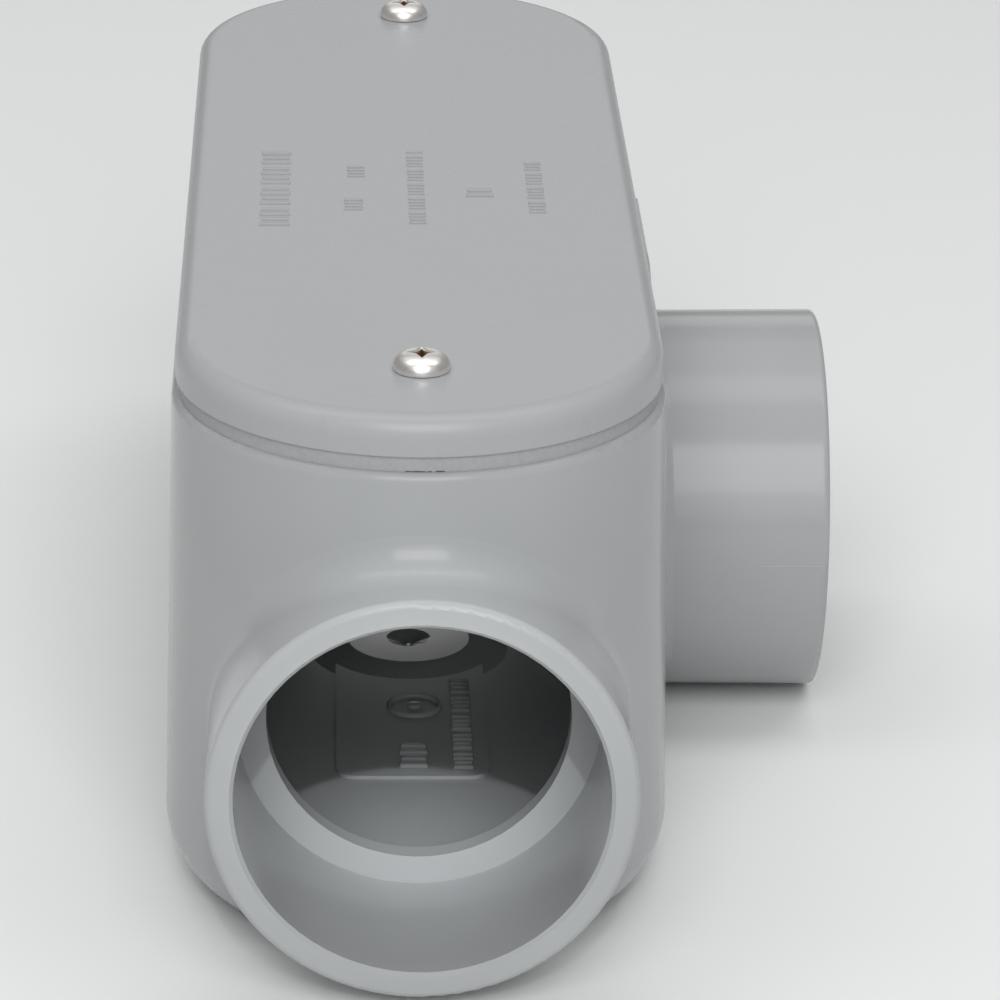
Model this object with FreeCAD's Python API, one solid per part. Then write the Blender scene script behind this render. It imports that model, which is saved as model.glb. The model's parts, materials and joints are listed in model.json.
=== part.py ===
"""Type T conduit body for 1 1/2 trade size rigid PVC conduit, in millimetres.

A one-piece grey PVC moulding carries three conduit sockets: one at each end and one at the middle of
its right side.  A moulded cover closes the long opening on top, over a flat gasket, and two pan head
screws hold it down.

Frame: the origin is on the flat back of the body, at the middle of its length and under the axis of the
end sockets.  +X runs to the side socket, Y runs along the body, and +Z points from the back to the cover.
"""
import FreeCAD, Part
import math
import os

Vector = FreeCAD.Vector
UP = Vector(0, 0, 1)

# ---- conduit and sockets -------------------------------------------------------------------------
conduit_outer_diameter = 48.26
conduit_bore_diameter = 40.8
socket_clearance = 0.44          # on the diameter, taken up by the solvent cement
socket_depth = 27.0
stop_thickness = 3.0             # ring that the conduit butts against in the end sockets
hub_wall = 3.7
hub_draft = 0.25                 # the hub's outside is this much thinner, in radius, at its root
hub_mouth_rounding = 1.0         # outer edge of the mouth
hub_mouth_chamfer = 0.5          # lead-in at the inner edge of the mouth
end_hub_protrusion = 10.7        # mouth beyond the tip of the rounded end
side_hub_protrusion = 27.3       # mouth beyond the side of the rim
end_hub_blend = 5.0              # fillet where an end hub leaves the body
side_hub_blend = 3.0             # fillet where the side hub leaves its pad

# ---- body ----------------------------------------------------------------------------------------
straight_length = 138.0          # between the centres of the two rounded ends
hub_ground_clearance = 1.95      # back face below the end hubs
side_hub_drop = 1.9              # side socket's axis below the end sockets' axis
rim_beside_hub = 4.95            # rim's half width beyond the hub's radius
rim_above_hub = 13.05            # rim above the top of the hubs
wall_draft = 1.25                # degrees, the body widens towards its back
wall = 3.6
floor_thickness = 3.5
back_edge_radius = 11.0
rim_edge_radius = 1.2
side_pad_beyond_hub = 16.45      # radius of the round pad beyond the side hub's radius
side_pad_rise = 1.0              # pad's face beyond the body's side

# ---- moulded details inside the body ---------------------------------------------------------------
boss_radius = 5.5                # screw bosses of the body and the cover
boss_above_bore = 1.6            # underside of the body's boss above the stop ring's bore
boss_web = 4.0
panel_half_width = 11.0          # raised panel on the floor
panel_half_length = 47.6
panel_rise = 0.5
panel_corner_radius = 3.0
gate_base_radius = 15.0          # round gate boss at the middle of the floor
gate_top_radius = 9.2
gate_rise = 1.6
gate_dimple_radius = 3.3
gate_dimple_depth = 1.2
gate_edge_radius = 0.5
gate_dimple_edge_radius = 0.4

# ---- cover and gasket ------------------------------------------------------------------------------
gasket_thickness = 2.0
gasket_inset = 0.45              # gasket's edge inside the cover's edge
gasket_width = 3.1
cover_step = 0.5                 # cover's edge inside the body's rim
cover_edge_height = 5.4
cover_plate = 3.0
cover_top_radius = 2.7
cover_bottom_radius = 0.3
cover_pocket_radius = 0.6

# ---- cover screws ----------------------------------------------------------------------------------
screw_setback = 18.5             # screw axis inside the tip of the cover
screw_shank_radius = 2.08
screw_length = 16.0              # under the head
screw_tip = 1.0
screw_head_radius = 3.8
screw_head_edge = 0.6            # straight side of the head, below its dome
screw_head_height = 2.7
screw_hole_clearance = 0.25      # on the radius, in the cover and the gasket
thread_clearance = 0.05          # on the radius, in the boss
pilot_hole_spare = 1.9           # hole below the screw's tip
recess_reach = 2.9               # wing tips of the recess from its axis, level with the head's top
recess_waist = 1.55              # corners between the wings from the axis
recess_floor_scale = 0.4         # floor of the recess against its mouth
recess_depth = 1.7

# ---- sizes that follow -------------------------------------------------------------------------------
socket_radius = (conduit_outer_diameter + socket_clearance) / 2
stop_bore_radius = conduit_bore_diameter / 2
hub_radius = socket_radius + hub_wall
hub_root_radius = hub_radius - hub_draft
hub_axis_height = hub_radius + hub_ground_clearance
side_axis_height = hub_axis_height - side_hub_drop
rim_half_width = hub_radius + rim_beside_hub
rim_height = hub_axis_height + hub_radius + rim_above_hub
end_centre = straight_length / 2
end_mouth = end_centre + rim_half_width + end_hub_protrusion
side_mouth = rim_half_width + side_hub_protrusion
end_socket_bottom = end_mouth - socket_depth
side_socket_bottom = side_mouth - socket_depth
stop_back = end_socket_bottom - stop_thickness
cover_half_width = rim_half_width - cover_step
screw_place = end_centre + cover_half_width - screw_setback
cover_base = rim_height + gasket_thickness
cover_top = cover_base + cover_edge_height
cover_ceiling = cover_top - cover_plate
gasket_half_width = cover_half_width - gasket_inset
overshoot = 1.0                  # how far a cutting shape runs past what it cuts


def half_width(height):
    """Half width of the body's drafted outside at a height."""
    return rim_half_width + (rim_height - height) * math.tan(math.radians(wall_draft))


def rounded_face(corners):
    """Face in the XZ plane whose closed outline has the corners (x, z, corner radius)."""
    count = len(corners)
    arcs = []
    for index, (x, z, radius) in enumerate(corners):
        here = Vector(x, 0, z)
        before = corners[index - 1]
        after = corners[(index + 1) % count]
        back = (Vector(before[0], 0, before[1]) - here).normalize()
        ahead = (Vector(after[0], 0, after[1]) - here).normalize()
        half_angle = back.getAngle(ahead) / 2
        reach = radius / math.tan(half_angle)
        inward = (back + ahead).normalize()
        crest = here + inward * (radius / math.sin(half_angle) - radius)
        arcs.append((here + back * reach, crest, here + ahead * reach, radius))
    edges = []
    for index, (start, crest, end, radius) in enumerate(arcs):
        if radius:
            edges.append(Part.Arc(start, crest, end).toShape())
        next_start = arcs[(index + 1) % count][0]
        if (next_start - end).Length > 1e-6:
            edges.append(Part.makeLine(end, next_start))
    return Part.Face(Part.Wire(edges))


def obround(corners, length=straight_length):
    """Long solid with round ends whose cross section has these corners on its +X side."""
    half_section = rounded_face(corners)
    middle = half_section.extrude(Vector(0, length, 0))
    middle.translate(Vector(0, -length / 2, 0))
    rear = half_section.revolve(Vector(), UP, 180)
    rear.translate(Vector(0, length / 2, 0))
    front = half_section.revolve(Vector(), UP, -180)
    front.translate(Vector(0, -length / 2, 0))
    other_side = middle.mirror(Vector(), Vector(1, 0, 0))
    return middle.multiFuse([other_side, rear, front]).removeSplitter()


def turned(corners):
    """Round solid about the Z axis from the corners of its half section."""
    return rounded_face(corners).revolve(Vector(), UP, 360)


def upright(radius, bottom, top, y=0.0):
    """Cylinder along Z on the body's middle plane."""
    return Part.makeCylinder(radius, top - bottom, Vector(0, y, bottom), UP)


def block(x_size, y_low, y_high, bottom, top):
    """Box centred on the body's middle plane."""
    return Part.makeBox(x_size, y_high - y_low, top - bottom, Vector(-x_size / 2, y_low, bottom))


def aim_front(shape):
    """Turn a shape made along +Z to point out of the front end, on the front socket's axis."""
    shape.rotate(Vector(), Vector(1, 0, 0), 90)
    shape.translate(Vector(0, 0, hub_axis_height))
    return shape


def aim_side(shape):
    """Turn a shape made along +Z to point out of the side, on the side socket's axis."""
    shape.rotate(Vector(), Vector(0, 1, 0), 90)
    shape.translate(Vector(0, 0, side_axis_height))
    return shape


def mirrored(shape):
    """The same shape at the other end of the body."""
    return shape.mirror(Vector(), Vector(0, 1, 0))


def hub_outside(start, mouth):
    """Solid hub along +Z from inside the body to its mouth, drafted towards its root."""
    return turned([(0, start, 0), (hub_root_radius, start, 0),
                   (hub_radius, mouth, hub_mouth_rounding), (0, mouth, 0)])


def socket_space(bottom, mouth, bore_start):
    """Room for the conduit along +Z, the bore behind its stop and the lead-in at the mouth."""
    lead_in = socket_radius + hub_mouth_chamfer
    return turned([(0, bore_start, 0), (stop_bore_radius, bore_start, 0), (stop_bore_radius, bottom, 0),
                   (socket_radius, bottom, 0), (socket_radius, mouth - hub_mouth_chamfer, 0),
                   (lead_in, mouth, 0), (lead_in, mouth + overshoot, 0), (0, mouth + overshoot, 0)])


def root_edges(shape, axis, axis_height, root, mouth):
    """Edges where a hub's outside leaves the body, found by their distance from the hub's axis."""
    mean_radius = (hub_root_radius + hub_radius) / 2
    slack = hub_draft + 0.02
    found = []
    for edge in shape.Edges:
        if isinstance(edge.Curve, Part.Line):
            continue
        first, last = edge.ParameterRange
        points = [edge.valueAt(first + (last - first) * step / 8) for step in range(9)]
        on_hub = True
        for point in points:
            from_axis = point - Vector(0, 0, axis_height)
            along = from_axis.dot(axis)
            radius = (from_axis - axis * along).Length
            at_mouth = along > mouth - 2 * hub_mouth_rounding
            if at_mouth or along < root or abs(radius - mean_radius) > slack:
                on_hub = False
        if on_hub:
            found.append(edge)
    return found


def side_branch():
    """Side hub on its round pad, which stands a little proud of the body's side and ends at the rim."""
    root = rim_half_width - wall - back_edge_radius
    pad_radius = hub_radius + side_pad_beyond_hub
    section = rounded_face([(0, 0, 0), (half_width(0) + side_pad_rise, 0, back_edge_radius),
                            (rim_half_width + side_pad_rise, rim_height, rim_edge_radius),
                            (0, rim_height, 0)])
    bar = section.extrude(Vector(0, 2 * pad_radius + overshoot, 0))
    bar.translate(Vector(0, -pad_radius - overshoot / 2, 0))
    branch = bar.fuse(aim_side(hub_outside(root, side_mouth)))
    edges = root_edges(branch, Vector(1, 0, 0), side_axis_height, root, side_mouth)
    branch = branch.makeFillet(side_hub_blend, edges)
    return branch.common(aim_side(Part.makeCylinder(pad_radius, side_mouth + overshoot)))


def body_outside():
    """Outside of the moulding, solid, with the three hubs blended in."""
    shell = obround([(0, 0, 0), (half_width(0), 0, back_edge_radius),
                     (rim_half_width, rim_height, rim_edge_radius), (0, rim_height, 0)])
    front_hub = aim_front(hub_outside(stop_back, end_mouth))
    shell = shell.multiFuse([front_hub, mirrored(front_hub)]).removeSplitter()
    for axis in (Vector(0, -1, 0), Vector(0, 1, 0)):
        edges = root_edges(shell, axis, hub_axis_height, stop_back, end_mouth)
        shell = shell.makeFillet(end_hub_blend, edges)
    return shell.fuse(side_branch()).removeSplitter()


def end_filling():
    """Everything moulded inside the front end: barrel, block under it, screw boss and its web."""
    end_wall = end_centre + rim_half_width
    barrel = Part.makeCylinder(hub_root_radius, end_wall - stop_back, Vector(0, 0, stop_back), UP)
    barrel = aim_front(barrel)
    under_barrel = block(2 * end_wall, -end_wall - back_edge_radius, -stop_back, 0, hub_axis_height)
    boss_base = hub_axis_height + stop_bore_radius + boss_above_bore
    boss = upright(boss_radius, boss_base, rim_height, -screw_place)
    web = block(boss_web, -end_wall, -screw_place, boss_base, rim_height)
    return barrel.multiFuse([under_barrel, boss, web])


def floor_details():
    """Raised panel and round gate boss on the floor, rooted in the floor."""
    root = floor_thickness / 2
    top = floor_thickness + panel_rise
    panel = Part.makeBox(2 * panel_half_width, 2 * panel_half_length, top - root,
                         Vector(-panel_half_width, -panel_half_length, root))
    upright_edges = [edge for edge in panel.Edges if abs(edge.tangentAt(edge.FirstParameter).z) > 0.9]
    panel = panel.makeFillet(panel_corner_radius, upright_edges)
    gate_top = floor_thickness + gate_rise
    gate = turned([(0, root, 0), (gate_base_radius, root, 0), (gate_base_radius, floor_thickness, 0),
                   (gate_top_radius, gate_top, gate_edge_radius),
                   (gate_dimple_radius, gate_top, gate_dimple_edge_radius),
                   (0, gate_top - gate_dimple_depth, 0)])
    return panel.fuse(gate)


def make_body():
    """The one-piece moulding."""
    inner_half_width = half_width(0) - wall
    opening_half_width = rim_half_width - wall
    lean = math.tan(math.radians(wall_draft))
    cavity = obround([(0, floor_thickness, 0),
                      (inner_half_width - floor_thickness * lean, floor_thickness, back_edge_radius - wall),
                      (opening_half_width - overshoot * lean, rim_height + overshoot, 0),
                      (0, rim_height + overshoot, 0)])
    filling = end_filling()
    hollow = cavity.cut(filling.multiFuse([mirrored(filling), floor_details()]))
    front_socket = aim_front(socket_space(end_socket_bottom, end_mouth, stop_back - overshoot))
    side_socket = aim_side(socket_space(side_socket_bottom, side_mouth, opening_half_width - wall))
    hole_bottom = cover_top - screw_length - pilot_hole_spare
    cuts = [front_socket, mirrored(front_socket), side_socket]
    for y in (-screw_place, screw_place):
        cuts.append(upright(screw_shank_radius + thread_clearance, hole_bottom, cover_top, y))
    return body_outside().cut(hollow).cut(cuts[0].multiFuse(cuts[1:]))


def screw_tabs(bottom, top, outer_half_width):
    """Round tabs about the two screw holes, each joined to the rim by a web."""
    rim_middle = end_centre + outer_half_width - gasket_width / 2
    tabs = []
    for side in (-1, 1):
        tab = upright(boss_radius, bottom, top, side * screw_place)
        ends = sorted((side * screw_place, side * rim_middle))
        tabs.append(tab.fuse(block(boss_web, ends[0], ends[1], bottom, top)))
    return tabs


def screw_holes(bottom, top):
    """Clearance holes for the two screws."""
    radius = screw_shank_radius + screw_hole_clearance
    return upright(radius, bottom, top, -screw_place).fuse(upright(radius, bottom, top, screw_place))


def make_gasket():
    """Flat ring on the body's rim, with a tab round each screw."""
    inner = gasket_half_width - gasket_width
    ring = obround([(inner, rim_height, 0), (gasket_half_width, rim_height, 0),
                    (gasket_half_width, cover_base, 0), (inner, cover_base, 0)])
    tabs = screw_tabs(rim_height, cover_base, gasket_half_width)
    gasket = ring.multiFuse(tabs).cut(screw_holes(rim_height - overshoot, cover_base + overshoot))
    return gasket.removeSplitter()


def make_cover():
    """Shallow moulded lid: plate, edge all round and a pad under each screw."""
    lid = obround([(0, cover_base, 0), (cover_half_width, cover_base, cover_bottom_radius),
                   (cover_half_width, cover_top, cover_top_radius), (0, cover_top, 0)])
    inside = cover_half_width - wall
    pocket = obround([(0, cover_base - overshoot, 0), (inside, cover_base - overshoot, 0),
                      (inside, cover_ceiling, cover_pocket_radius), (0, cover_ceiling, 0)])
    tabs = screw_tabs(cover_base - overshoot, cover_top - cover_plate / 2, cover_half_width)
    pocket = pocket.cut(tabs[0].fuse(tabs[1]))
    return lid.cut(pocket).cut(screw_holes(cover_base - overshoot, cover_top + overshoot)).removeSplitter()


def star(reach, waist, height):
    """Closed outline of a four-winged recess at a height, with its wings along X and Y."""
    points = []
    for corner in range(9):
        radius = reach if corner % 2 == 0 else waist
        angle = math.radians(45 * corner)
        points.append(Vector(radius * math.cos(angle), radius * math.sin(angle), height))
    return Part.makePolygon(points)


def make_screw(y):
    """Pan head screw with a combined cross and square recess, seated on the cover."""
    head_top = cover_top + screw_head_height
    dome_start = cover_top + screw_head_edge
    dome_rise = screw_head_height - screw_head_edge
    dome_radius = (screw_head_radius ** 2 + dome_rise ** 2) / (2 * dome_rise)
    tip = cover_top - screw_length
    ball = Part.makeSphere(dome_radius, Vector(0, 0, head_top - dome_radius))
    head = Part.makeCylinder(screw_head_radius, screw_head_height, Vector(0, 0, cover_top)).common(ball)
    collar = Part.makeCylinder(screw_head_radius, screw_head_edge, Vector(0, 0, cover_top))
    shank = turned([(0, tip, 0), (screw_shank_radius - screw_tip, tip, 0),
                    (screw_shank_radius, tip + screw_tip, 0), (screw_shank_radius, dome_start, 0),
                    (0, dome_start, 0)])
    screw = head.multiFuse([collar, shank])
    mouth = star(recess_reach, recess_waist, head_top)
    floor = star(recess_reach * recess_floor_scale, recess_waist * recess_floor_scale,
                 head_top - recess_depth)
    screw = screw.cut(Part.makeLoft([floor, mouth], True, True)).removeSplitter()
    screw.translate(Vector(0, y, 0))
    return screw


def main():
    """Write one STEP file for each piece."""
    os.makedirs("parts", exist_ok=True)
    pieces = {
        "body": make_body(),
        "gasket": make_gasket(),
        "cover": make_cover(),
        "cover_screw_front": make_screw(-screw_place),
        "cover_screw_rear": make_screw(screw_place),
    }
    for name, shape in pieces.items():
        shape.exportStep("parts/" + name + ".step")
        print(name, "solids", len(shape.Solids), "valid", shape.isValid(), "volume", round(shape.Volume))


main()
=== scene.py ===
"""The conduit body dressed for a studio: its finishes, the ridges that the mould left on it, its raised
marks, its screws, and the floor, lamps and camera. Lengths are in metres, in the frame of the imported
model."""
import json
import math
from itertools import cycle
import bpy
from mathutils import Euler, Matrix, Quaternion, Vector


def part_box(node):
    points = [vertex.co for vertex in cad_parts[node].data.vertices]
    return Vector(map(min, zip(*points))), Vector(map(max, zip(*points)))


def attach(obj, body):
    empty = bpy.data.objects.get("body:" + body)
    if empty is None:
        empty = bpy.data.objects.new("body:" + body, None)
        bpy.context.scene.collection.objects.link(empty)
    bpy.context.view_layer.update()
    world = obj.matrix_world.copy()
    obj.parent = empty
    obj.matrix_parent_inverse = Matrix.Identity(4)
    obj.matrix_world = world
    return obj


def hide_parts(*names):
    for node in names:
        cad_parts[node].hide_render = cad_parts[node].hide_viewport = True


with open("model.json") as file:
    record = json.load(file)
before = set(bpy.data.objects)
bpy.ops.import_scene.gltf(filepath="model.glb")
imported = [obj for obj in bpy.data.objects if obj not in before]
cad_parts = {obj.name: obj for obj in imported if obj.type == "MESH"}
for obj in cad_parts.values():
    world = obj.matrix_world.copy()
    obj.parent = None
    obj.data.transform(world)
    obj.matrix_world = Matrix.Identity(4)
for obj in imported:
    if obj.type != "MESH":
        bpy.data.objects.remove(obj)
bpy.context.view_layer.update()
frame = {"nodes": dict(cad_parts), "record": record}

MM = 0.001

# --------------------------------------------------------------- sizes of the moulding
HUB_WALL = 3.7 * MM
HUB_DRAFT = 0.25 * MM            # a hub is this much thinner, in radius, at its root
END_HUB_REACH = 10.7 * MM        # mouth of an end hub beyond the rounded end
RIM_HALF_WIDTH = 33.0 * MM
WALL_DRAFT = math.radians(1.25)  # the body widens towards its back
SIDE_PAD_RISE = 1.0 * MM         # round pad under the side hub, beyond the body's side
FLOOR_THICKNESS = 3.5 * MM
PANEL_RISE = 0.5 * MM
GATE_RISE = 1.6 * MM
GATE_RADIUS = 9.2 * MM           # polished top of the gate boss on the floor

# --------------------------------------------------------------- sizes taken from the frame
BODY_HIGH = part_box("body")[1]
COVER_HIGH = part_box("cover")[1]
MOUNTS = {mount["name"]: mount for mount in frame["record"]["mounts"]}
END_AXIS_Z = MOUNTS["front_socket"]["pos_m"][2]
SIDE_AXIS_Z = MOUNTS["side_socket"]["pos_m"][2]
HUB_RADIUS = MOUNTS["front_socket"]["dims"]["r_mm"] * MM + HUB_WALL
RIM_Z = BODY_HIGH[2]
END_MOUTH_Y = BODY_HIGH[1]
SIDE_MOUTH_X = BODY_HIGH[0]
COVER_TOP_Z = COVER_HIGH[2]
END_CENTRE_Y = END_MOUTH_Y - END_HUB_REACH - RIM_HALF_WIDTH
FLOOR_PANEL_Z = FLOOR_THICKNESS + PANEL_RISE
GATE_TOP_Z = FLOOR_THICKNESS + GATE_RISE

# --------------------------------------------------------------- sizes of the cover screws
SCREW_LOW, SCREW_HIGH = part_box("cover_screw_rear")
SCREW_Y = (SCREW_LOW[1] + SCREW_HIGH[1]) / 2
# Radius and height above the cover's top, in millimetres: the tip, then up the shank, round the
# head and over its crown.
SCREW_TIP = (1.08, -16.0)
SCREW_PROFILE = [(2.08, -15.0), (2.08, 0.0), (3.50, 0.0), (3.72, 0.12), (3.80, 0.40), (3.76, 0.85),
                 (3.52, 1.38), (3.12, 1.80), (2.60, 2.13), (2.05, 2.32), (1.40, 2.43), (0.70, 2.46)]
SCREW_CROWN_Z = COVER_TOP_Z + SCREW_PROFILE[-1][1] * MM
SCREW_EDGE = 0.08 * MM           # rounding of the head's and the recess's edges
RECESS_REACH = 2.3 * MM          # radius over the recess's four wings
RECESS_WAIST = 1.15 * MM         # radius between them
RECESS_DEPTH = 1.7 * MM
RECESS_FLOOR = 0.45              # share of its width that the recess keeps at its floor

# --------------------------------------------------------------- sizes of the fine work
COVER_MARK_RISE = 0.16 * MM
FLOOR_MARK_RISE = 0.60 * MM
MARK_ROOT = 0.15 * MM            # how deep a mark is sunk into its surface
MARK_EDGE = 0.4                  # share of its rise that a mark's rounded edge takes
FLASH_RISE = 0.03 * MM           # ridge that the mould's parting line leaves
FLASH_WIDTH = 0.35 * MM
MOUTH_ROUNDING = 1.2 * MM        # a ridge stops short of a hub's rounded mouth
SIDE_ROOT_GAP = 2.2 * MM         # the side hub's ridges start this far from its pad, in the blend
END_ROOT_Y = END_CENTRE_Y + 0.62 * RIM_HALF_WIDTH  # and an end hub's start here, in its blend


# ======================================================================= node helpers
def linear(hex_colour):
    """An sRGB colour such as '9a9c9f' as the linear RGBA that a socket takes."""
    channels = [int(hex_colour[i:i + 2], 16) / 255 for i in (0, 2, 4)]
    straight = [c / 12.92 if c <= 0.04045 else ((c + 0.055) / 1.055) ** 2.4 for c in channels]
    return (*straight, 1.0)


def add_node(material, kind, settings=None, values=None, links=None):
    """Adds one node. settings are its properties, values its input sockets' constants, and links
    pairs an input socket, by name or number, with the output socket that feeds it."""
    node = material.node_tree.nodes.new(kind)
    for name, value in (settings or {}).items():
        setattr(node, name, value)
    for name, value in (values or {}).items():
        node.inputs[name].default_value = value
    for name, source in (links or {}).items():
        material.node_tree.links.new(source, node.inputs[name])
    return node


def new_material(name):
    """A new material and its shader."""
    material = bpy.data.materials.new(name)
    material.use_nodes = True
    return material, material.node_tree.nodes["Principled BSDF"]


def feed(material, shader, **sources):
    """Links outputs to the shader's sockets, named with _ for a space."""
    for name, source in sources.items():
        material.node_tree.links.new(source, shader.inputs[name.replace("_", " ")])


def set_stops(ramp, stops):
    """Gives a colour ramp its (position, colour) stops."""
    elements = ramp.color_ramp.elements
    while len(elements) < len(stops):
        elements.new(1.0)
    for element, (position, colour) in zip(elements, stops):
        element.position = position
        element.color = colour


# ======================================================================= finishes
PVC_SHINE = 0.18                 # a chalky filler at the skin makes it shine less than clear PVC


def gate_top_mask(material, place):
    """1 on the top of the floor's gate boss, 0 elsewhere. A polished pin shaped it, so that disc about
    the Z axis shines more than the floor around it. Its height is taken from the middle of the
    floor's thickness to a millimetre above the boss."""
    from_axis = add_node(material, "ShaderNodeVectorMath", settings={"operation": "MULTIPLY"},
                         values={1: (1, 1, 0)}, links={0: place})
    reach = add_node(material, "ShaderNodeVectorMath", settings={"operation": "LENGTH"},
                     links={0: from_axis.outputs["Vector"]})
    on_disc = add_node(material, "ShaderNodeMath", settings={"operation": "LESS_THAN"},
                       values={1: GATE_RADIUS}, links={0: reach.outputs["Value"]})
    height = add_node(material, "ShaderNodeSeparateXYZ", links={"Vector": place})
    near_floor = add_node(material, "ShaderNodeMath", settings={"operation": "LESS_THAN"},
                          values={1: GATE_TOP_Z + 1 * MM}, links={0: height.outputs["Z"]})
    off_back = add_node(material, "ShaderNodeMath", settings={"operation": "GREATER_THAN"},
                        values={1: FLOOR_THICKNESS / 2}, links={0: height.outputs["Z"]})
    within = add_node(material, "ShaderNodeMath", settings={"operation": "MULTIPLY"},
                      links={0: near_floor.outputs["Value"], 1: off_back.outputs["Value"]})
    polished = add_node(material, "ShaderNodeMath", settings={"operation": "MULTIPLY"},
                        links={0: on_disc.outputs["Value"], 1: within.outputs["Value"]})
    return polished.outputs["Value"]


def moulded_pvc(name, base, light, dark, smooth, rough, polished_gate=False):
    """Rigid PVC, injection moulded against a fine stone-polished steel mould. The eye gets a cool grey
    that is nearly even, with faint flow clouds a few centimetres wide, weak but fairly crisp
    reflections of the lamps, and a very fine grain that only breaks up the edge of a highlight."""
    material, shader = new_material(name)
    place = add_node(material, "ShaderNodeTexCoord").outputs["Object"]
    # Flow clouds: the melt cools unevenly over about 25 mm.
    clouds = add_node(material, "ShaderNodeTexNoise", values={
        "Scale": 1 / (25 * MM), "Detail": 3.0, "Roughness": 0.5, "Distortion": 0.4},
        links={"Vector": place})
    tint = add_node(material, "ShaderNodeValToRGB", links={"Fac": clouds.outputs["Fac"]})
    set_stops(tint, [(0.30, linear(dark)), (0.50, linear(base)), (0.72, linear(light))])
    gloss = add_node(material, "ShaderNodeMapRange", values={
        "From Min": 0.3, "From Max": 0.7, "To Min": smooth, "To Max": rough},
        links={"Value": clouds.outputs["Fac"]})
    if polished_gate:
        shader.inputs["Coat Roughness"].default_value = 0.15
        feed(material, shader, Coat_Weight=gate_top_mask(material, place))
    # The stoned mould's scratches are finer than 0.1 mm, drawn at 0.6 mm so that they show.
    grain = add_node(material, "ShaderNodeTexNoise", values={
        "Scale": 1 / (0.6 * MM), "Detail": 2.0, "Roughness": 0.6}, links={"Vector": place})
    bump = add_node(material, "ShaderNodeBump", values={"Strength": 0.2, "Distance": 0.010 * MM},
                    links={"Height": grain.outputs["Fac"]})
    shader.inputs["IOR"].default_value = 1.54
    shader.inputs["Specular IOR Level"].default_value = PVC_SHINE
    feed(material, shader, Base_Color=tint.outputs["Color"], Roughness=gloss.outputs["Result"],
         Normal=bump.outputs["Normal"])
    return material


def closed_cell_foam():
    """Soft closed-cell vinyl foam, die cut from sheet: matte, a little darker than the PVC, with hardly
    visible cut cells along its edge. At the middle of the front end its lower edge has a few dark specks:
    painted shade of the gap where the foam doesn't touch the rim."""
    material, shader = new_material("closed_cell_vinyl_foam")
    place = add_node(material, "ShaderNodeTexCoord").outputs["Object"]
    cells = add_node(material, "ShaderNodeTexNoise", values={"Scale": 1 / (0.8 * MM), "Detail": 2.0},
                     links={"Vector": place})
    tint = add_node(material, "ShaderNodeValToRGB", links={"Fac": cells.outputs["Fac"]})
    set_stops(tint, [(0.35, linear("999b9d")), (0.60, linear("9ea0a2"))])
    # Painted shade of the gap where the foam's lower edge doesn't touch the rim, broken into specks 1 mm
    # long. They thin out between 2 and 5 mm to each side of the middle, and between 0.10 and 0.42 mm
    # above the rim.
    axes = add_node(material, "ShaderNodeSeparateXYZ", links={"Vector": place})
    aside = add_node(material, "ShaderNodeMath", settings={"operation": "ABSOLUTE"},
                     links={0: axes.outputs["X"]})
    near = add_node(material, "ShaderNodeMapRange", values={
        "From Min": 2 * MM, "From Max": 5 * MM, "To Min": 1.0, "To Max": 0.0},
        links={"Value": aside.outputs["Value"]})
    low = add_node(material, "ShaderNodeMapRange", values={
        "From Min": RIM_Z + 0.10 * MM, "From Max": RIM_Z + 0.42 * MM, "To Min": 1.0, "To Max": 0.0},
        links={"Value": axes.outputs["Z"]})
    front = add_node(material, "ShaderNodeMath", settings={"operation": "LESS_THAN"},
                     values={1: 0.0}, links={0: axes.outputs["Y"]})
    gap_shade_noise = add_node(material, "ShaderNodeTexNoise", values={
        "Scale": 1 / (1.0 * MM), "Detail": 4.0, "Roughness": 0.7}, links={"Vector": place})
    gap_shade_mask = near.outputs["Result"]
    for other in (low.outputs["Result"], front.outputs["Value"], gap_shade_noise.outputs["Fac"]):
        gap_shade_mask = add_node(material, "ShaderNodeMath", settings={"operation": "MULTIPLY"},
                        links={0: gap_shade_mask, 1: other}).outputs["Value"]
    painted_gap_shade = add_node(material, "ShaderNodeMath", settings={"operation": "GREATER_THAN"},
                    values={1: 0.45}, links={0: gap_shade_mask})
    # The dark grey mixed in here is painted shade of the gap under the foam's edge.
    colour = add_node(material, "ShaderNodeMix", settings={"data_type": "RGBA"},
                      values={7: linear("4a4c4e")},
                      links={0: painted_gap_shade.outputs["Value"], 6: tint.outputs["Color"]})
    bump = add_node(material, "ShaderNodeBump", values={"Strength": 0.4, "Distance": 0.08 * MM},
                    links={"Height": cells.outputs["Fac"]})
    shader.inputs["Roughness"].default_value = 0.7
    feed(material, shader, Base_Color=colour.outputs[2], Normal=bump.outputs["Normal"])
    return material


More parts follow.
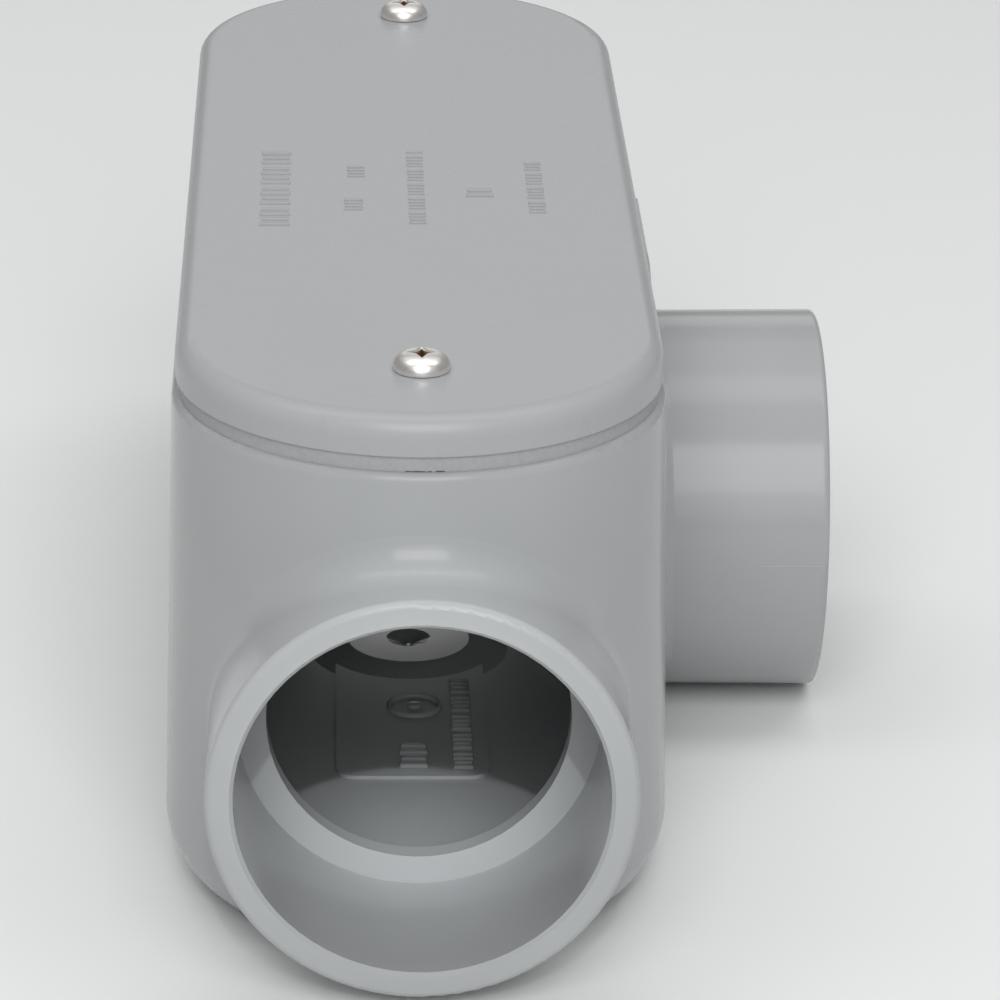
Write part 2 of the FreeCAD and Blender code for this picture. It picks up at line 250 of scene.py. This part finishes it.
def nickel_plated_steel():
    """Steel, cold headed and nickel plated: bright and faintly warm, with soft reflections that are a
    little uneven from the heading die and from handling. The recess is painted a dark brownish grey:
    painted shade."""
    material, shader = new_material("nickel_plated_steel")
    place = add_node(material, "ShaderNodeTexCoord").outputs["Object"]
    # The die and the handling leave patches about 1.5 mm wide.
    haze = add_node(material, "ShaderNodeTexNoise", values={"Scale": 1 / (1.5 * MM), "Detail": 3.0},
                    links={"Vector": place})
    # Where on a head: both screws are at the same distance from the middle.
    axes = add_node(material, "ShaderNodeSeparateXYZ", links={"Vector": place})
    along = add_node(material, "ShaderNodeMath", settings={"operation": "ABSOLUTE"},
                     links={0: axes.outputs["Y"]})
    off = add_node(material, "ShaderNodeMath", settings={"operation": "SUBTRACT"},
                   values={1: SCREW_Y}, links={0: along.outputs["Value"]})
    flat = add_node(material, "ShaderNodeCombineXYZ",
                    links={"X": axes.outputs["X"], "Y": off.outputs["Value"]})
    reach = add_node(material, "ShaderNodeVectorMath", settings={"operation": "LENGTH"},
                     links={0: flat.outputs["Vector"]})
    # Painted shade: the recess turns dark between 0.26 and 0.46 mm below the crown.
    in_recess = add_node(material, "ShaderNodeMath", settings={"operation": "LESS_THAN"},
                         values={1: RECESS_REACH + 0.1 * MM}, links={0: reach.outputs["Value"]})
    depth = add_node(material, "ShaderNodeMapRange", values={
        "From Min": SCREW_CROWN_Z - 0.26 * MM, "From Max": SCREW_CROWN_Z - 0.46 * MM,
        "To Min": 0.0, "To Max": 1.0}, links={"Value": axes.outputs["Z"]})
    painted_recess_shade = add_node(material, "ShaderNodeMath", settings={"operation": "MULTIPLY"},
                    links={0: in_recess.outputs["Value"], 1: depth.outputs["Result"]})
    # Mixes in the painted shade of the recess.
    tint = add_node(material, "ShaderNodeMix", settings={"data_type": "RGBA"},
                    values={6: linear("f8f5f0"), 7: linear("7d6a55")}, links={0: painted_recess_shade.outputs["Value"]})
    gloss = add_node(material, "ShaderNodeMapRange", values={
        "From Min": 0.35, "From Max": 0.75, "To Min": 0.32, "To Max": 0.44},
        links={"Value": haze.outputs["Fac"]})
    bump = add_node(material, "ShaderNodeBump", values={"Strength": 0.3, "Distance": 0.06 * MM},
                    links={"Height": haze.outputs["Fac"]})
    shader.inputs["Metallic"].default_value = 1.0
    feed(material, shader, Base_Color=tint.outputs[2], Roughness=gloss.outputs["Result"],
         Normal=bump.outputs["Normal"])
    return material


def seamless_paper():
    """White background paper: matte and even."""
    material, shader = new_material("seamless_paper")
    place = add_node(material, "ShaderNodeTexCoord").outputs["Object"]
    # Its fibres are finer than 0.2 mm, drawn at 1 mm so that they show.
    tooth = add_node(material, "ShaderNodeTexNoise", values={"Scale": 1 / (1.0 * MM)},
                     links={"Vector": place})
    bump = add_node(material, "ShaderNodeBump", values={"Strength": 0.1, "Distance": 0.02 * MM},
                    links={"Height": tooth.outputs["Fac"]})
    shader.inputs["Base Color"].default_value = linear("e9eaea")
    shader.inputs["Roughness"].default_value = 0.9
    shader.inputs["Specular IOR Level"].default_value = 0.1
    feed(material, shader, Normal=bump.outputs["Normal"])
    return material


BODY_PVC = moulded_pvc("rigid_pvc_body", base="a3a5a6", light="a5a7a8", dark="a1a3a4",
                       smooth=0.15, rough=0.19, polished_gate=True)
COVER_PVC = moulded_pvc("rigid_pvc_cover", base="a3a5a7", light="a5a7a9", dark="a1a3a5",
                        smooth=0.24, rough=0.30)
FOAM = closed_cell_foam()
NICKEL = nickel_plated_steel()


def coat(material, *node_names):
    """Gives CAD nodes their finish."""
    for node_name in node_names:
        for material_slot in frame["nodes"][node_name].material_slots:
            material_slot.material = material


coat(BODY_PVC, "body")
coat(COVER_PVC, "cover")
coat(FOAM, "gasket")
coat(NICKEL, "cover_screw_front", "cover_screw_rear")


# ======================================================================= modelling helpers
def deselect_all():
    """Leaves nothing selected and nothing active."""
    for piece in bpy.context.selected_objects:
        piece.select_set(False)
    bpy.context.view_layer.objects.active = None


def take(piece):
    """Selects one piece alone and makes it the active one."""
    deselect_all()
    piece.select_set(True)
    bpy.context.view_layer.objects.active = piece


def apply_modifier(piece, kind, **settings):
    """Adds a modifier with its settings and applies it."""
    modifier = piece.modifiers.new(kind.lower(), kind)
    for name, value in settings.items():
        setattr(modifier, name, value)
    take(piece)
    bpy.ops.object.modifier_apply(modifier=modifier.name)


def select_in_edit_mode(piece, element, wanted):
    """Leaves piece in edit mode with the elements selected for which wanted(element) is true."""
    take(piece)
    bpy.ops.object.mode_set(mode="EDIT")
    bpy.ops.mesh.select_mode(type=element)
    bpy.ops.mesh.select_all(action="DESELECT")
    bpy.ops.object.mode_set(mode="OBJECT")
    parts = {"VERT": piece.data.vertices, "FACE": piece.data.polygons}[element]
    for part in parts:
        part.select = bool(wanted(part))
    bpy.ops.object.mode_set(mode="EDIT")


def block(low, high):
    """A closed block between two corners, with its object at the origin."""
    deselect_all()
    centre = [(a + b) / 2 for a, b in zip(low, high)]
    bpy.ops.mesh.primitive_cube_add(size=1, location=centre)
    piece = bpy.context.object
    piece.scale = [b - a for a, b in zip(low, high)]
    bpy.ops.object.transform_apply(location=True, rotation=True, scale=True)
    return piece


def joined(pieces):
    """Two or more pieces as one."""
    deselect_all()
    for piece in pieces:
        piece.select_set(True)
    bpy.context.view_layer.objects.active = pieces[0]
    bpy.ops.object.join()
    return pieces[0]


def finish_piece(piece, name, material, record_slot):
    """Names a piece and ties it to the object and to its finish."""
    piece.name = name
    piece.data.name = name
    take(piece)
    piece.data.materials.clear()
    piece.data.materials.append(material)
    bpy.ops.object.shade_smooth_by_angle(angle=math.radians(35))
    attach(piece, "root")


# ======================================================================= marks
# Strokes of a column, used in turn: width along Y and gap after it, in millimetres, and the share
# of the column's width that the stroke covers.
LARGE_STROKES = [(1.1, 1.1, 1.0), (1.1, 1.1, 0.9), (1.1, 1.1, 1.0), (1.1, 1.8, 0.9)]
SMALL_STROKES = [(0.7, 0.7, 1.0), (0.7, 0.7, 0.9), (0.7, 0.7, 1.0), (0.7, 1.7, 1.0)]

# Name, reach across and reach along of each column, in millimetres, and its strokes.
COVER_COLUMNS = [
    ("cover_mark_title", (-21.9, -17.6), (-24.0, 12.0), LARGE_STROKES),
    ("cover_mark_left_near", (-9.9, -7.2), (-16.9, -11.5), SMALL_STROKES),
    ("cover_mark_left_far", (-9.4, -6.9), (-1.5, 4.5), SMALL_STROKES),
    ("cover_mark_middle", (-0.7, 1.7), (-23.0, 12.0), SMALL_STROKES),
    ("cover_mark_right_near", (7.7, 11.6), (-10.6, -5.5), LARGE_STROKES),
    ("cover_mark_right", (16.5, 18.9), (-18.0, 6.5), SMALL_STROKES)]
FLOOR_COLUMNS = [
    ("floor_mark_size", (-1.9, 2.2), (-44.9, -37.0), LARGE_STROKES),
    ("floor_mark_right", (5.8, 8.7), (-45.4, -13.0), SMALL_STROKES)]


def raised_bar(x_range, y_range, surface_z, rise):
    """One raised bar: a low block with rounded upper edges, sunk a little into its surface."""
    bar = block((x_range[0], y_range[0], surface_z - MARK_ROOT),
                (x_range[1], y_range[1], surface_z + rise))
    apply_modifier(bar, "BEVEL", width=rise * MARK_EDGE, segments=2)
    return bar


def mark_column(name, x_range, y_range, strokes, surface, finish):
    """A column of raised strokes along Y, as a plain stand-in for a line of moulded words. Each stroke is
    centred on the column. surface is the height that they stand on and their rise, and finish is their
    material and its slot; the slot is not used."""
    surface_z, rise = surface
    bars = []
    y = y_range[0]
    for width, gap, share in cycle(strokes):
        if y + width > y_range[1]:
            break
        reach = (x_range[1] - x_range[0]) * share
        low_x = (x_range[0] + x_range[1] - reach) / 2
        bars.append(raised_bar((low_x * MM, (low_x + reach) * MM), (y * MM, (y + width) * MM),
                               surface_z, rise))
        y += width + gap
    finish_piece(joined(bars), name, *finish)


def plain_ring(name, centre, radius, width, surface, finish):
    """A raised ring with a round top, and in it a dot with a rounded upper edge."""
    surface_z, rise = surface
    dot_radius = 1.3 * width
    deselect_all()
    bpy.ops.mesh.primitive_torus_add(major_radius=radius - width / 2, minor_radius=width / 2,
                                     major_segments=64, minor_segments=12,
                                     location=(centre[0], centre[1], surface_z))
    ring = bpy.context.object
    ring.scale = (1, 1, 2 * rise / width)
    bpy.ops.object.transform_apply(location=True, rotation=True, scale=True)
    deselect_all()
    middle_z = surface_z + (rise - MARK_ROOT) / 2
    bpy.ops.mesh.primitive_cylinder_add(vertices=32, radius=dot_radius, depth=rise + MARK_ROOT,
                                        location=(centre[0], centre[1], middle_z))
    bpy.ops.object.transform_apply(location=True, rotation=True, scale=True)
    dot = bpy.context.object
    apply_modifier(dot, "BEVEL", width=rise * MARK_EDGE, segments=2)
    finish_piece(joined([ring, dot]), name, *finish)


def cover_marks():
    """Faint raised strokes in six columns on the cover's top."""
    for name, x_range, y_range, strokes in COVER_COLUMNS:
        mark_column(name, x_range, y_range, strokes, (COVER_TOP_Z, COVER_MARK_RISE),
                    (COVER_PVC, "cover_pvc"))


def floor_marks():
    """Raised strokes and a plain ring on the floor's panel, seen through the front socket."""
    surface = (FLOOR_PANEL_Z, FLOOR_MARK_RISE)
    finish = (BODY_PVC, "body_pvc")
    for name, x_range, y_range, strokes in FLOOR_COLUMNS:
        mark_column(name, x_range, y_range, strokes, surface, finish)
    plain_ring("floor_mark_ring", (0.55 * MM, -23.3 * MM), 4.1 * MM, 0.8 * MM, surface, finish)


cover_marks()
floor_marks()


# ======================================================================= cover screws
def extrude_top(radius, height, last_radius, last_height):
    """In edit mode with the top face selected: extrudes it to the next step of a turned profile."""
    bpy.ops.mesh.extrude_region_move(TRANSFORM_OT_translate={"value": (0, 0, height - last_height)})
    share = radius / last_radius
    bpy.ops.transform.resize(value=(share, share, 1), center_override=(0, 0, height))


def turned_screw():
    """A screw on the Z axis, turned from its profile: a thin disc at the tip is extruded step by step."""
    disc = 0.1 * MM
    tip_radius, tip_z = SCREW_TIP[0] * MM, COVER_TOP_Z + SCREW_TIP[1] * MM
    deselect_all()
    bpy.ops.mesh.primitive_cylinder_add(vertices=64, radius=tip_radius, depth=disc,
                                        location=(0, 0, tip_z + disc / 2))
    screw = bpy.context.object
    bpy.ops.object.transform_apply(location=True, rotation=True, scale=True)
    select_in_edit_mode(screw, "FACE", lambda face: face.normal.z > 0.9)
    last_radius, last_height = tip_radius, tip_z + disc
    for radius_mm, height_mm in SCREW_PROFILE:
        radius, height = radius_mm * MM, COVER_TOP_Z + height_mm * MM
        extrude_top(radius, height, last_radius, last_height)
        last_radius, last_height = radius, height
    bpy.ops.object.mode_set(mode="OBJECT")
    return screw


def recess_cutter():
    """A four-winged star that starts a little above the crown and tapers towards the recess's floor."""
    above = 0.2 * MM
    deselect_all()
    bpy.ops.mesh.primitive_cylinder_add(vertices=8, radius=RECESS_REACH, depth=RECESS_DEPTH + above,
                                        location=(0, 0, SCREW_CROWN_Z + (above - RECESS_DEPTH) / 2))
    star = bpy.context.object
    bpy.ops.object.transform_apply(location=True, rotation=True, scale=True)
    # The four corners that lie off both axes are drawn in to the waist.
    off_axis = RECESS_REACH * 0.3
    waist = RECESS_WAIST / RECESS_REACH
    select_in_edit_mode(star, "VERT", lambda v: min(abs(v.co.x), abs(v.co.y)) > off_axis)
    bpy.ops.transform.resize(value=(waist, waist, 1), center_override=(0, 0, 0))
    bpy.ops.object.mode_set(mode="OBJECT")
    select_in_edit_mode(star, "VERT", lambda v: v.co.z < SCREW_CROWN_Z - RECESS_DEPTH / 2)
    bpy.ops.transform.resize(value=(RECESS_FLOOR, RECESS_FLOOR, 1), center_override=(0, 0, 0))
    bpy.ops.object.mode_set(mode="OBJECT")
    return star


def cover_screws():
    """Pan head screws with a four-winged recess. One is made on the axis and copied to both ends."""
    screw = turned_screw()
    star = recess_cutter()
    apply_modifier(screw, "BOOLEAN", operation="DIFFERENCE", object=star)
    bpy.data.objects.remove(star)
    apply_modifier(screw, "BEVEL", width=SCREW_EDGE, segments=2, limit_method="ANGLE",
                   angle_limit=math.radians(40))
    for word, side in (("front", -1), ("rear", 1)):
        placed = screw.copy()
        placed.data = screw.data.copy()
        bpy.context.scene.collection.objects.link(placed)
        select_in_edit_mode(placed, "VERT", lambda v: True)
        bpy.ops.transform.translate(value=(0, side * SCREW_Y, 0))
        bpy.ops.object.mode_set(mode="OBJECT")
        finish_piece(placed, "pan_head_screw_" + word, NICKEL, "screw_steel")
        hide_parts("cover_screw_" + word)
    bpy.data.objects.remove(screw)


cover_screws()


# ======================================================================= parting line
def half_width_at(z):
    """Half width of the body's outside at a height."""
    return RIM_HALF_WIDTH + (RIM_Z - z) * math.tan(WALL_DRAFT)


def hub_ridge(name, root, mouth):
    """A fine ridge along a hub: a round bar between two points, sunk until only FLASH_RISE of it
    stands out of the hub."""
    run = mouth - root
    deselect_all()
    bpy.ops.mesh.primitive_cylinder_add(vertices=12, radius=FLASH_WIDTH / 2, depth=run.length)
    ridge = bpy.context.object
    ridge.rotation_mode = "QUATERNION"
    ridge.rotation_quaternion = run.to_track_quat("Z", "Y")
    ridge.location = (root + mouth) / 2
    bpy.ops.object.transform_apply(location=True, rotation=True, scale=True)
    finish_piece(ridge, name, BODY_PVC, "body_pvc")


def hub_ridges():
    """The mould parts at the height of each hub's axis, on both sides of the hub."""
    # How far a ridge's own axis lies from its hub's.
    sunk = FLASH_WIDTH / 2 - FLASH_RISE
    at_mouth = HUB_RADIUS - sunk
    at_root = at_mouth - HUB_DRAFT
    halfway = at_mouth - HUB_DRAFT / 2
    root_x = half_width_at(SIDE_AXIS_Z) + SIDE_PAD_RISE + SIDE_ROOT_GAP
    mouth_x = SIDE_MOUTH_X - MOUTH_ROUNDING
    for word, side in (("near", -1), ("far", 1)):
        hub_ridge("side_hub_ridge_" + word, Vector((root_x, side * at_root, SIDE_AXIS_Z)),
                  Vector((mouth_x, side * at_mouth, SIDE_AXIS_Z)))
    # An end hub comes out of the body about halfway along its draft.
    mouth_y = END_MOUTH_Y - MOUTH_ROUNDING
    for end_word, end in (("front", -1), ("rear", 1)):
        for side_word, side in (("left", -1), ("right", 1)):
            hub_ridge(end_word + "_hub_ridge_" + side_word,
                      Vector((side * halfway, end * END_ROOT_Y, END_AXIS_Z)),
                      Vector((side * at_mouth, end * mouth_y, END_AXIS_Z)))


hub_ridges()


# ======================================================================= stage
SOFTBOX_DISTANCE = 1.5
SNOOT_DISTANCE = 1.0
MOUTH_TARGET = Vector((0, -END_MOUTH_Y, END_AXIS_Z + 6 * MM))  # a little above the mouth's middle


def place_lamp(lamp, target, distance, elevation):
    """Sets a lamp beyond its target, straight in front of the object, above it or behind it, and
    turns it to the target. Elevation is in degrees: 0 is in front, 90 overhead and 180 behind."""
    up = math.radians(elevation)
    away = Vector((0, -math.cos(up), math.sin(up)))
    lamp.location = target + distance * away
    lamp.rotation_euler = (-away).to_track_quat("-Z", "Y").to_euler()
    bpy.context.scene.collection.objects.link(lamp)


def softbox(name, elevation, size, radiance):
    """A softbox that faces the object. radiance is its brightness against white paper."""
    data = bpy.data.lights.new(name, "AREA")
    data.shape = "RECTANGLE"
    data.size, data.size_y = size
    data.energy = radiance * math.pi * size[0] * size[1]
    place_lamp(bpy.data.objects.new(name, data), Vector((0, 0, END_AXIS_Z)), SOFTBOX_DISTANCE, elevation)


def snoot():
    """A small round lamp in a tube, which looks down through the front socket at the floor behind it.
    Its cone is a little wider than high, and its glint is kept off the socket's edge."""
    data = bpy.data.lights.new("snoot", "SPOT")
    data.energy = 44
    data.shadow_soft_size = 20 * MM
    data.color = (0.94, 0.98, 1.0)
    data.spot_size = math.radians(2.1)
    data.spot_blend = 1.0
    lamp = bpy.data.objects.new("snoot", data)
    lamp.scale = (1.25, 1, 1)
    lamp.visible_glossy = False
    place_lamp(lamp, MOUTH_TARGET, SNOOT_DISTANCE, elevation=37)


def studio():
    """White paper floor, a strip overhead, two softboxes in front and two behind, a snooted lamp that
    looks into the front socket, and even light all round."""
    deselect_all()
    bpy.ops.mesh.primitive_plane_add(size=12, location=(0, 0, 0))
    floor = bpy.context.object
    floor.name = "floor"
    floor.data.materials.append(seamless_paper())
    softbox("overhead_strip", elevation=90.5, size=(2.4, 0.50), radiance=2.45)
    softbox("front_softbox", elevation=38, size=(0.9, 0.80), radiance=5.5)
    softbox("low_front_softbox", elevation=16, size=(0.8, 0.36), radiance=1.7)
    softbox("rear_softbox", elevation=118, size=(2.0, 0.80), radiance=0.5)
    softbox("rear_low_softbox", elevation=159, size=(0.9, 0.45), radiance=0.7)
    snoot()
    world = bpy.data.worlds.new("studio_air")
    world.use_nodes = True
    world.node_tree.nodes["Background"].inputs["Color"].default_value = (1, 1, 1, 1)
    world.node_tree.nodes["Background"].inputs["Strength"].default_value = 0.27
    bpy.context.scene.world = world
    bpy.context.scene.view_settings.view_transform = "Standard"


def camera():
    """A long lens, 0.69 m in front of the middle and 0.30 m up, looking down at the object."""
    data = bpy.data.cameras.new("camera")
    data.lens = 178.4
    data.sensor_width = 36
    viewer = bpy.data.objects.new("camera", data)
    bpy.context.scene.collection.objects.link(viewer)
    viewer.location = (-12.16 * MM, -688.98 * MM, 299.3 * MM)
    down, right, roll = 0.3756, 0.0373, 0.0146  # in radians
    viewer.rotation_mode = "QUATERNION"
    viewer.rotation_quaternion = (Euler((math.pi / 2 - down, 0, -right)).to_quaternion()
                                  @ Quaternion((0, 0, 1), roll))
    bpy.context.scene.camera = viewer


studio()
camera()
